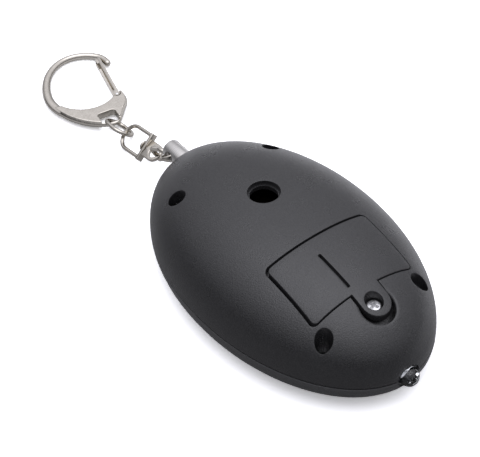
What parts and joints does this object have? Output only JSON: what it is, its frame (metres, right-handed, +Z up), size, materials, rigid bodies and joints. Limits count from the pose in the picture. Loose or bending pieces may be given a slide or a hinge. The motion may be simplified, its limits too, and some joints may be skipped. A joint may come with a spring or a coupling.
{
  "type": "personal safety alarm",
  "caption": "Oval domed safety alarm with a battery cover, sound hole, lamp and push button; a pull pin on a swivel chain with a spring-gate snap hook sets it off.",
  "frame": {"origin": "middle of the flat front face of the case, on the surface it lies on", "axes": "+Z up from the flat face to the domed rear face, +Y along the case to the pull pin and chain, -Y to the lamp, +X to the right"},
  "size_m": [0.0558, 0.1579, 0.028],
  "materials": {
    "case_plastic": "fine spark-eroded ABS",
    "button_plastic": "satin ABS",
    "nickel_plate": "satin nickel plate",
    "zinc_steel": "zinc or tin plate",
    "pin_steel": "turned and plated",
    "cell_steel": "pressed nickel steel",
    "brass_sheet": "rolled sheet",
    "ceramic": "fired ceramic with a thin electrode",
    "laminate": "solder mask on glass laminate",
    "ferrite": "fired ferrite",
    "copper_wire": "enamelled copper",
    "moulding_black": "moulded resin",
    "resistor_tan": "lacquer",
    "wire_red": "insulated wire",
    "clear_lens": "clear cast resin",
    "plunger_white": "moulded"
  },
  "bodies": {
    "case": {"rear_shell": "case_plastic", "front_shell": "case_plastic", "case_screws": "zinc_steel", "button_cells": "cell_steel", "cell_contact_plates": "zinc_steel", "cell_spring": "zinc_steel", "siren_disc": "brass_sheet", "siren_ceramic": "ceramic", "siren_wires": "wire_red", "circuit_board": "laminate", "boost_coil_core": "ferrite", "boost_coil_winding": "copper_wire", "driver_transistor": "moulding_black", "control_chip": "moulding_black", "resistors": "resistor_tan", "pin_socket": "moulding_black", "pin_contacts": "brass_sheet", "lamp": "clear_lens", "lamp_leads": "zinc_steel", "tact_switch": "moulding_black"},
    "battery_cover": {"battery_cover": "case_plastic"},
    "cover_screw": {"cover_screw": "zinc_steel"},
    "light_button": {"light_button": "button_plastic", "switch_plunger": "plunger_white"},
    "pull_pin": {"pin_head": "pin_steel", "pin_shaft": "pin_steel"},
    "jump_ring": {"jump_ring": "nickel_plate"},
    "curb_link": {"curb_link": "nickel_plate"},
    "swivel_eye": {"swivel_eye": "nickel_plate"},
    "swivel_bail": {"swivel_bail": "nickel_plate"},
    "oval_ring": {"oval_ring": "nickel_plate"},
    "snap_hook": {"snap_hook": "nickel_plate"},
    "hook_gate": {"hook_gate": "nickel_plate", "gate_pin": "zinc_steel", "gate_spring": "zinc_steel"}
  },
  "joints": [
    {"name": "cover_lift", "type": "slide", "parent": "case", "child": "battery_cover", "axis": [0, 0, 1], "range_m": [0, 0.014]},
    {"name": "cover_screw_turn", "type": "hinge", "parent": "battery_cover", "child": "cover_screw", "pos_m": [0, -0.0314, 0.02093], "axis": [0, 0, 1], "continuous": true},
    {"name": "light_button_press", "type": "slide", "parent": "case", "child": "light_button", "axis": [0, 0, 1], "range_m": [0, 0.0006], "stiffness_N_per_m": 1500},
    {"name": "pin_pull", "type": "slide", "parent": "case", "child": "pull_pin", "axis": [0, 1, 0], "range_m": [0, 0.024]},
    {"name": "jump_ring_swing", "type": "hinge", "parent": "pull_pin", "child": "jump_ring", "pos_m": [0, 0.0472, 0.0133], "axis": [1, 0, 0], "range_deg": [-45, 30]},
    {"name": "curb_link_swing", "type": "hinge", "parent": "jump_ring", "child": "curb_link", "pos_m": [0, 0.05195, 0.00902], "axis": [-1, 0, 0], "range_deg": [-40, 40]},
    {"name": "swivel_eye_swing", "type": "hinge", "parent": "curb_link", "child": "swivel_eye", "pos_m": [0, 0.05722, 0.00585], "axis": [-0.4226, 0.4668, 0.7769], "range_deg": [-40, 40]},
    {"name": "swivel_spin", "type": "hinge", "parent": "swivel_eye", "child": "swivel_bail", "pos_m": [0, 0.06145, 0.00491], "axis": [0, 0.9816, -0.1908], "continuous": true},
    {"name": "oval_ring_swing", "type": "hinge", "parent": "swivel_bail", "child": "oval_ring", "pos_m": [0, 0.07161, 0.00294], "axis": [0.788, 0.1175, 0.6043], "range_deg": [-60, 60]},
    {"name": "snap_hook_swing", "type": "hinge", "parent": "oval_ring", "child": "snap_hook", "pos_m": [0.00015, 0.07747, 0.00214], "axis": [-0.9848, 0.1736, 0], "range_deg": [-45, 25]},
    {"name": "gate_open", "type": "hinge", "parent": "snap_hook", "child": "hook_gate", "pos_m": [0.0078, 0.08662, 0.00179], "axis": [0.0059, 0.0336, 0.9994], "range_deg": [0, 28], "stiffness_Nm_per_rad": 0.02, "springref_deg": -11.46}
  ]
}
